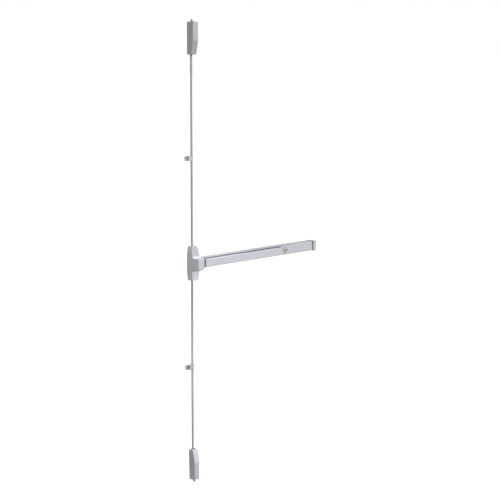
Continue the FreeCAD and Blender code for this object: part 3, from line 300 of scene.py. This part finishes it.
# Finishes that several looks share: painted castings, bars brushed along X, rods drawn along Z, ground
# steel and zinc plate.
CAST = {"grain": 1600, "grain_depth": 0.02}
BRUSHED = {"grain": 2600, "stretch": ALONG_X, "grain_depth": 0.012}
DRAWN = {"grain": 2600, "stretch": ALONG_Z, "grain_depth": 0.012, "edge": 0.2}
GROUND = {"grain": 1800, "stretch": ALONG_Z}
PLATED = {"grain": 500, "tone": 0.12, "edge": 0.3}

LOOKS = {
    "case_metal": metal("case_satin", SATIN, metallic=0.22, rough=0.42, **CAST),
    "bar_metal": metal("bar_satin", toned(BAR, 0.95), metallic=0.22, rough=0.38, edge=0.4, **BRUSHED),
    "touchbar_metal": metal("touchbar_satin", BAR, metallic=0.22, rough=0.36, edge=1.4, wear_and_highlight=0.8,
                            shine=1.5, **BRUSHED),
    "rod_metal": metal("rod_satin", DARK_SATIN, metallic=0.30, rough=0.34, **DRAWN),
    "plated_steel": metal("zinc_plate", (0.52, 0.53, 0.54), metallic=0.9, rough=0.38, **PLATED),
    "pin_steel": metal("ground_steel", (0.48, 0.48, 0.48), metallic=1.0, rough=0.28, edge=0.2, **GROUND),
    "dark_steel": metal("black_oxide", (0.050, 0.048, 0.046), metallic=0.7, rough=0.45, grain=1500,
                        tone=0.15, edge=0.2),
    "bolt_steel": metal("machined_steel", (0.34, 0.33, 0.32), metallic=0.25, rough=0.50, edge=0.3,
                        **GROUND),
    "spring_steel": metal("spring_wire", (0.16, 0.16, 0.165), metallic=0.9, rough=0.35, grain=2200,
                          edge=0.1),
    "screw_metal": metal("yellow_zinc", (0.39, 0.28, 0.20), metallic=0.70, rough=0.38, grain=1600,
                         tone=0.12, edge=0.2),
    "sleeve_plastic": metal("black_nylon", (0.030, 0.030, 0.032), metallic=0.0, rough=0.55, grain=1300,
                            tone=0.2, edge=0.2, wear_and_highlight=0.05),
    "cylinder_metal": metal("cylinder_nickel", (0.50, 0.47, 0.44), metallic=1.0, rough=0.20, grain=1800,
                            tone=0.04, spread=0.05, edge=0.5, wear_and_highlight=0.7, shine=1.6),
    "plug_metal": metal("plug_brass", (0.34, 0.30, 0.27), metallic=1.0, rough=0.26, grain=1800,
                        tone=0.08, edge=0.2),
}

# Looks of the nodes whose tone in the photograph differs from that of their slot.
# These are darker and lighter copies of their slot's finish: painted shade and light, not colours of their
# own.
CENTRE_PAINTED_SHADE = {"level": 34 * MM, "fade": 3 * MM, "above": 0.80, "below": 1.22, "top": 1.12}
# The centre cover's look paints shade on its front above the block, and light below it and on its tops.
CENTRE_METAL = metal("centre_satin_painted_shade", SATIN, metallic=0.22, rough=0.42, front=CENTRE_PAINTED_SHADE, **CAST)
LATCH_SHADED_METAL = metal("latch_satin_painted_shade", DARK_SATIN, metallic=0.22, rough=0.42, **CAST)
UPPER_GUIDE_LIT_METAL = metal("upper_guide_zinc_painted_light", (0.60, 0.60, 0.61), metallic=0.7, rough=0.40, **PLATED)
LOWER_GUIDE_SHADED_METAL = metal("lower_guide_zinc_painted_shade", (0.42, 0.42, 0.43), metallic=0.7, rough=0.40, **PLATED)
LOWER_ROD_SHADED_METAL = metal("lower_rod_satin_painted_shade", toned(SATIN, 0.57), metallic=0.30, rough=0.34, **DRAWN)
LOOK_OF_NODE = {
    "centre_cover": CENTRE_METAL,
    "top_latch_cover": LATCH_SHADED_METAL,
    "bottom_latch_cover": LATCH_SHADED_METAL,
    "upper_rod_guide": UPPER_GUIDE_LIT_METAL,
    "lower_rod_guide": LOWER_GUIDE_SHADED_METAL,
    "lower_rod": LOWER_ROD_SHADED_METAL,
}


def dress_nodes():
    for name, node in frame["nodes"].items():
        look = LOOK_OF_NODE.get(name, LOOKS[SLOT_OF_NODE[name]])
        if not node.material_slots:
            node.data.materials.append(look)
        for item in node.material_slots:
            item.material = look


# Forms of the small pieces that the construction leaves to the looks. Their sizes are in millimetres.
SMOOTH_ANGLE = 35


# The low and the high corner of a constructed node's box.
def box_of(node):
    return [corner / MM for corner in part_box(node)]


def add_mesh(name, shape, body, slot_name, smooth=SMOOTH_ANGLE):
    bmesh.ops.recalc_face_normals(shape, faces=shape.faces[:])
    data = bpy.data.meshes.new(name)
    shape.to_mesh(data)
    shape.free()
    piece = bpy.data.objects.new(name, data)
    bpy.context.scene.collection.objects.link(piece)
    data.materials.append(LOOKS[slot_name])
    data.polygons.foreach_set("use_smooth", [True] * len(data.polygons))
    data.set_sharp_from_angle(angle=math.radians(smooth))
    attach(piece, body)
    return piece


# A skin of faces through closed outlines of equal length. It joins its ends, or closes each with a face.
def skin(outlines, joined=False):
    shape = bmesh.new()
    rings = [[shape.verts.new(point * MM) for point in outline] for outline in outlines]
    pairs = list(zip(rings, rings[1:]))
    if joined:
        pairs.append((rings[-1], rings[0]))
    else:
        shape.faces.new(rings[0])
        shape.faces.new(rings[-1])
    for first, second in pairs:
        for here in range(len(first)):
            there = (here + 1) % len(first)
            shape.faces.new([first[here], first[there], second[there], second[here]])
    return shape


# A unit vector that has turned from the first axis towards the second.
def spoke(first, second, angle):
    return first * math.cos(angle) + second * math.sin(angle)


EAST, NORTH, UP = Vector((1, 0, 0)), Vector((0, 1, 0)), Vector((0, 0, 1))
RING_STEPS = 64


# A ring turned round an axis, from an outline of radius and distance from the centre along the axis.
def turned(centre, first, second, axis, outline):
    outlines = []
    for step in range(RING_STEPS):
        out = spoke(first, second, math.tau * step / RING_STEPS)
        outlines.append([centre + out * radius + axis * along for radius, along in outline])
    return skin(outlines, joined=True)


THREAD_STEPS = 20
# Half the foot of a thread's ridge as a share of its pitch, how deep foot and crest start below the
# radius, and the steps in which the ridge rises at its ends.
THREAD_HALF_FOOT = 0.42
FOOT_SUNK = 0.2
CREST_SUNK = 0.05
FADE_STEPS = 6


# A screw thread as a ridge wound round an upright axis.
def thread(centre, low, high, radius, ridge, pitch):
    half = pitch * THREAD_HALF_FOOT
    count = int((high - low - 2 * half) / pitch * THREAD_STEPS)
    outlines = []
    for step in range(count + 1):
        out = spoke(EAST, NORTH, math.tau * step / THREAD_STEPS)
        height = low + half + pitch * step / THREAD_STEPS
        crest = radius - CREST_SUNK + ridge * min(1, step / FADE_STEPS, (count - step) / FADE_STEPS)
        section = ((radius - FOOT_SUNK, -half), (crest, 0), (radius - FOOT_SUNK, half))
        outlines.append([centre + out * reach + UP * (height + lift) for reach, lift in section])
    return skin(outlines)


COIL_STEPS = 24
WIRE_SIDES = 10
# Rise of an end turn, as a share of the wire, so that it lies close on the next.
END_TURN_RISE = 1.03


# A coil spring with closed end turns, wound round an upright axis.
def coil(centre, low, high, radius, wire, turns):
    closed_rise = wire * END_TURN_RISE
    open_rise = (high - low - wire - 2 * closed_rise) / (turns - 2)
    outlines = []
    for step in range(turns * COIL_STEPS + 1):
        turn = step / COIL_STEPS
        open_turns = min(max(turn - 1, 0), turns - 2)
        height = low + wire / 2 + closed_rise * (turn - open_turns) + open_rise * open_turns
        out = spoke(EAST, NORTH, math.tau * turn)
        middle = centre + out * radius + UP * height
        sides = (math.tau * number / WIRE_SIDES for number in range(WIRE_SIDES))
        outlines.append([middle + spoke(out, UP, side) * (wire / 2) for side in sides])
    return skin(outlines)


PAD_CORNER_PARTS = 4
# Depth, and inset left, where the softened front of a pad changes slope, as a share of its whole depth.
PAD_SHOULDER = 0.3


# A moulded pad between two corners of a box: rounded in front view, with a softened front.
def pad(low, high, corner, front):
    middle = (low + high) / 2
    half = (high - low) / 2
    shoulder = front * PAD_SHOULDER
    outlines = []
    for inset, depth in ((front, low.y), (shoulder, low.y + shoulder), (0, low.y + front), (0, high.y)):
        outline = []
        for quarter in range(4):
            way = spoke(EAST, UP, math.tau * (quarter + 0.5) / 4)
            for part in range(PAD_CORNER_PARTS + 1):
                out = spoke(EAST, UP, math.tau * (quarter + part / PAD_CORNER_PARTS) / 4)
                outline.append(Vector((
                    middle.x + math.copysign(half.x - corner, way.x) + (corner - inset) * out.x,
                    depth,
                    middle.z + math.copysign(half.z - corner, way.z) + (corner - inset) * out.z,
                )))
        outlines.append(outline)
    return skin(outlines)


# A constructed piece with some of its points moved. Each move has a test that picks points, and a step.
def drawn_out(name, node, moves):
    source = frame["nodes"][node]
    data = source.data.copy()
    data.name = name
    piece = bpy.data.objects.new(name, data)
    bpy.context.scene.collection.objects.link(piece)
    piece.matrix_world = source.matrix_world.copy()
    for vert in data.vertices:
        place = vert.co / MM
        for picks, step in moves:
            if picks(place):
                vert.co += Vector(step) * MM
    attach(piece, "root")
    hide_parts(node)


# Each spring's joint and the radius of its turns.
SPRINGS = {
    "upper_return_spring": ("upper_rod_slide", 4.2),
    "lower_return_spring": ("lower_rod_slide", 4.2),
    "top_bolt_spring": ("top_bolt_push", 4.7),
    "bottom_bolt_spring": ("bottom_bolt_push", 4.7),
}
WIRE = 1.2
TURNS = 7
WIRE_SMOOTH_ANGLE = 60


# Coil springs in place of the constructed ones, each fixed to the parent body of its joint.
def make_springs():
    for node, (joint_name, radius) in SPRINGS.items():
        joint = JOINTS[joint_name]
        low, high = box_of(node)
        centre = (low + high) / 2
        centre.z = 0
        piece = add_mesh(f"{node}_wire", coil(centre, low.z, high.z, radius, WIRE, TURNS),
                         joint["parent"], SLOT_OF_NODE[node], WIRE_SMOOTH_ANGLE)
        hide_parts(node)
        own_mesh(piece)


# How much further out the photograph shows the cover plate's end and the end cap's side and front, and
# how far behind each of these faces the points that move with it reach.
PLATE_LONGER = 3.1
CAP_SIDE_FURTHER = 4
CAP_FRONT_FURTHER = 3.5
END_BAND = 3
FRONT_BAND = 9
# Web across the mouth of the end cap: its thickness, how far it laps the cap's side, and how far it
# stays behind the cap's front and inside its top.
WEB_THICKNESS = 1.8
WEB_LAP = 0.4
WEB_BEHIND = 1.3
WEB_INSIDE = 2.2
WEB_CORNER = 0.5
WEB_SOFT = 0.3


def make_bar_end():
    plate_end = box_of("cover_plate")[1].x
    plate_back = box_of("cover_plate")[1].y
    cap_side, cap_front, _ = box_of("end_cap")[0]
    cap_top = box_of("end_cap")[1].z
    drawn_out("cover_plate_front", "cover_plate", [
        (lambda at: at.x > plate_end - END_BAND, (PLATE_LONGER, 0, 0)),
    ])
    drawn_out("end_cap_front", "end_cap", [
        (lambda at: at.x < cap_side + END_BAND and at.y < cap_front + FRONT_BAND, (CAP_SIDE_FURTHER, 0, 0)),
        (lambda at: at.y < cap_front + FRONT_BAND, (0, -CAP_FRONT_FURTHER, 0)),
    ])
    web_face = cap_side + CAP_SIDE_FURTHER + WEB_LAP
    web_half = cap_top - WEB_INSIDE
    web = pad(Vector((web_face - WEB_THICKNESS, cap_front - CAP_FRONT_FURTHER + WEB_BEHIND, -web_half)),
              Vector((web_face, plate_back, web_half)), WEB_CORNER, WEB_SOFT)
    add_mesh("end_cap_web", web, "root", SLOT_OF_NODE["end_cap"])


# Thread of the stud: where it starts over the rod's end and stops short of the latch, and its sizes.
THREAD_START = 7
THREAD_BELOW_LATCH = 0.6
THREAD_RADIUS = 4.0
THREAD_RIDGE = 0.35
THREAD_PITCH = 1.25
# Outlines as pairs of radius and distance: the collar's from the end of the rod, each entry ring's from
# the face of its latch, and those of the cylinder's rings from its front.
COLLAR = ((4.02, 0.05), (5.0, 0.05), (5.3, 0.4), (5.3, 5.8), (4.9, 6.3), (4.02, 6.3))
LOWER_ENTRY_SHADE = ((6.0, 0.3), (8.6, 0.3), (8.4, 1.5), (7.6, 1.9), (6.3, 1.9), (6.0, 1.6))
UPPER_ENTRY_SHADE = ((6.0, 0.3), (8.2, 0.3), (8.0, 1.3), (7.4, 1.7), (6.3, 1.7), (6.0, 1.5))
RIM = ((12.0, -0.1), (11.8, 0.35), (11.0, 0.55), (10.2, 0.35), (10.0, -0.1))
PLUG_COLLAR = ((8.2, -0.1), (8.0, 0.3), (7.2, 0.3), (7.0, -0.1))
GASKET = ((14.5, -1.78), (14.4, -1.35), (13.6, -1.35), (13.55, -1.78))


def make_rod_details():
    low, high = box_of("upper_rod")
    rod_end = Vector((0, (low.y + high.y) / 2, high.z))
    upper_face = box_of("top_latch_cover")[0].z
    lower_face = box_of("bottom_latch_cover")[1].z
    axis = Vector((0, rod_end.y, 0))
    wound = thread(axis, rod_end.z + THREAD_START, upper_face - THREAD_BELOW_LATCH,
                   THREAD_RADIUS, THREAD_RIDGE, THREAD_PITCH)
    add_mesh("stud_thread", wound, "upper_rod", "dark_steel")
    add_mesh("stud_collar", turned(rod_end, EAST, NORTH, UP, COLLAR), "upper_rod", "rod_metal")
    # The entry rings are black: dark pieces that stand for the shade in the openings where the rods enter
    # the latches.
    add_mesh("lower_entry_shade_ring", turned(axis + UP * lower_face, EAST, NORTH, UP, LOWER_ENTRY_SHADE),
             "root", "sleeve_plastic")
    add_mesh("upper_entry_shade_ring", turned(axis + UP * upper_face, EAST, NORTH, -UP, UPPER_ENTRY_SHADE),
             "root", "sleeve_plastic")


def make_cylinder_details():
    low, high = box_of("cylinder_body")
    front = Vector(((low.x + high.x) / 2, low.y, (low.z + high.z) / 2))
    add_mesh("cylinder_rim", turned(front, EAST, UP, -NORTH, RIM), "root", "cylinder_metal")
    add_mesh("plug_collar", turned(front, EAST, UP, -NORTH, PLUG_COLLAR), "root", "cylinder_metal")
    add_mesh("cylinder_gasket", turned(front, EAST, UP, -NORTH, GASKET), "root", "sleeve_plastic")


PAD_CORNER = 1.0
PAD_SOFT = 0.5
# Distances of the pads' low and high sides: the buffers' from the push bar's end, the end pads' from the
# end cap's side, and for both in depth from the cover plate's front and in height from its top.
BUFFER_ALONG, BUFFER_DEPTH, BUFFER_HEIGHT = (0.4, 11.8), (0.2, 10.0), (-3.8, -0.1)
END_PAD_ALONG, END_PAD_DEPTH, END_PAD_HEIGHT = (-1.0, 2.8), (-0.8, 1.95), (-2.6, 1.7)


# Black pads in pairs, above and below the middle of the bar, that darken spots in the reliefs by the push
# bar's end and at the corners of the gap before the end cap.
def make_pads():
    bar_end = box_of("touchbar_right_cap")[1].x
    cap_side = box_of("end_cap")[0].x
    plate_front = box_of("cover_plate")[0].y
    plate_top = box_of("cover_plate")[1].z
    pads = {
        "buffer": (bar_end, BUFFER_ALONG, BUFFER_DEPTH, BUFFER_HEIGHT),
        "end_pad": (cap_side, END_PAD_ALONG, END_PAD_DEPTH, END_PAD_HEIGHT),
    }
    for name, (start, along, depth, height) in pads.items():
        near, far = (plate_top + step for step in height)
        for side, low, high in (("upper", near, far), ("lower", -far, -near)):
            shape = pad(Vector((start + along[0], plate_front + depth[0], low)),
                        Vector((start + along[1], plate_front + depth[1], high)), PAD_CORNER, PAD_SOFT)
            add_mesh(f"{side}_{name}", shape, "root", "sleeve_plastic")


# Floor. It has one look to the camera, glows in what the metal mirrors, and throws little light back.
FLOOR_HEIGHT = -1.0365
FLOOR_HALF = 60
FLOOR_CLOUDS = {"scale": 3, "detail": 2.0, "rough": 0.5}
FLOOR_PAINTS = ((0.93, 0.93, 0.93), (0.95, 0.95, 0.95))
FLOOR_BOUNCE = (0.08, 0.08, 0.08)
FLOOR_LIFT = 0.76
FLOOR_ROUGH = 0.9
FLOOR_SHINE = 0.1
WHITE = (1, 1, 1, 1)
MIRRORED_RAYS = ("Is Glossy Ray", "Is Transmission Ray")
CAMERA_RAYS = ("Is Camera Ray",)


# 1 for rays of the kinds named and 0 for all others.
def rays_of(nodes, links, kinds):
    rays = nodes.new("ShaderNodeLightPath")
    total = rays.outputs[kinds[0]]
    for name in kinds[1:]:
        join = nodes.new("ShaderNodeMath")
        join.operation = "MAXIMUM"
        links.new(total, join.inputs[0])
        links.new(rays.outputs[name], join.inputs[1])
        total = join.outputs[0]
    return total


def make_floor():
    shape = bmesh.new()
    corners = [(-1, -1), (1, -1), (1, 1), (-1, 1)]
    shape.faces.new([shape.verts.new((x * FLOOR_HALF, y * FLOOR_HALF, FLOOR_HEIGHT)) for x, y in corners])
    data = bpy.data.meshes.new("floor")
    shape.to_mesh(data)
    shape.free()
    floor = bpy.data.objects.new("floor", data)
    bpy.context.scene.collection.objects.link(floor)
    tree = Tree("floor_paint")
    paint = tree.mix(tree.noise(**FLOOR_CLOUDS), *FLOOR_PAINTS)
    in_view = rays_of(tree.nodes, tree.links, CAMERA_RAYS)
    mirrored = rays_of(tree.nodes, tree.links, MIRRORED_RAYS)
    tree.link(tree.mix(in_view, FLOOR_BOUNCE, paint), tree.shader.inputs["Base Color"])
    tree.shader.inputs["Emission Color"].default_value = WHITE
    glow = tree.math("MAXIMUM", tree.math("MULTIPLY", in_view, FLOOR_LIFT), mirrored)
    tree.link(glow, tree.shader.inputs["Emission Strength"])
    tree.shader.inputs["Roughness"].default_value = FLOOR_ROUGH
    tree.shader.inputs["Specular IOR Level"].default_value = FLOOR_SHINE
    data.materials.append(tree.material)


# Light. Each distant lamp has the direction towards it, strength, width in degrees, colour and whether
# metal mirrors it.
LAMPS = {
    "front": ((0.50, -0.866, 0.0), 3.85, 30, (0.99, 0.99, 1.00), False),
    "left": ((-0.866, -0.50, 0.0), 2.15, 30, (1.00, 0.99, 0.98), False),
    "right": ((0.61, -0.35, 0.71), 0.98, 30, (1.00, 1.00, 1.00), True),
    "back": ((0.30, 0.93, 0.20), 1.20, 40, (1.00, 1.00, 1.00), False),
}
# Point that each near lamp shines at, and its power. All stand off from it by the same step.
NEAR_LAMPS = {"head": ((0, -0.03, 1.03), 90), "foot": ((0, -0.03, -0.93), 108)}
NEAR_LAMP_OFFSET = Vector((0, -0.208, 1.182))
NEAR_LAMP_WIDTH = math.radians(26)
NEAR_LAMP_BLEND = 0.8
NEAR_LAMP_RADIUS = 0.06
# Light that the surroundings throw on the part. Seen or mirrored, they are plain white.
SKY_GLOW = 0.03


def place_lamp(name, data, towards, mirrored):
    lamp = bpy.data.objects.new(name, data)
    lamp.visible_glossy = mirrored
    lamp.rotation_euler = Vector(towards).to_track_quat("Z", "Y").to_euler()
    bpy.context.scene.collection.objects.link(lamp)
    return lamp


def make_lamps():
    for name, (towards, strength, width, colour, mirrored) in LAMPS.items():
        data = bpy.data.lights.new(name, "SUN")
        data.energy = strength
        data.angle = math.radians(width)
        data.color = colour
        place_lamp(name, data, towards, mirrored)
    for name, (target, power) in NEAR_LAMPS.items():
        data = bpy.data.lights.new(name, "SPOT")
        data.energy = power
        data.spot_size = NEAR_LAMP_WIDTH
        data.spot_blend = NEAR_LAMP_BLEND
        data.shadow_soft_size = NEAR_LAMP_RADIUS
        place_lamp(name, data, NEAR_LAMP_OFFSET, False).location = Vector(target) + NEAR_LAMP_OFFSET


def make_surroundings():
    world = bpy.data.worlds.new("studio")
    bpy.context.scene.world = world
    world.use_nodes = True
    nodes = world.node_tree.nodes
    links = world.node_tree.links
    nodes.clear()
    output = nodes.new("ShaderNodeOutputWorld")
    sky = nodes.new("ShaderNodeBackground")
    sky.inputs["Color"].default_value = WHITE
    sky.inputs["Strength"].default_value = SKY_GLOW
    backdrop = nodes.new("ShaderNodeBackground")
    backdrop.inputs["Color"].default_value = WHITE
    mix = nodes.new("ShaderNodeMixShader")
    links.new(rays_of(nodes, links, CAMERA_RAYS + MIRRORED_RAYS), mix.inputs[0])
    links.new(sky.outputs[0], mix.inputs[1])
    links.new(backdrop.outputs[0], mix.inputs[2])
    links.new(mix.outputs[0], output.inputs["Surface"])


bpy.context.scene.view_settings.view_transform = "Standard"
make_camera()
dress_nodes()
make_springs()
make_bar_end()
make_rod_details()
make_cylinder_details()
make_pads()
make_floor()
make_lamps()
make_surroundings()
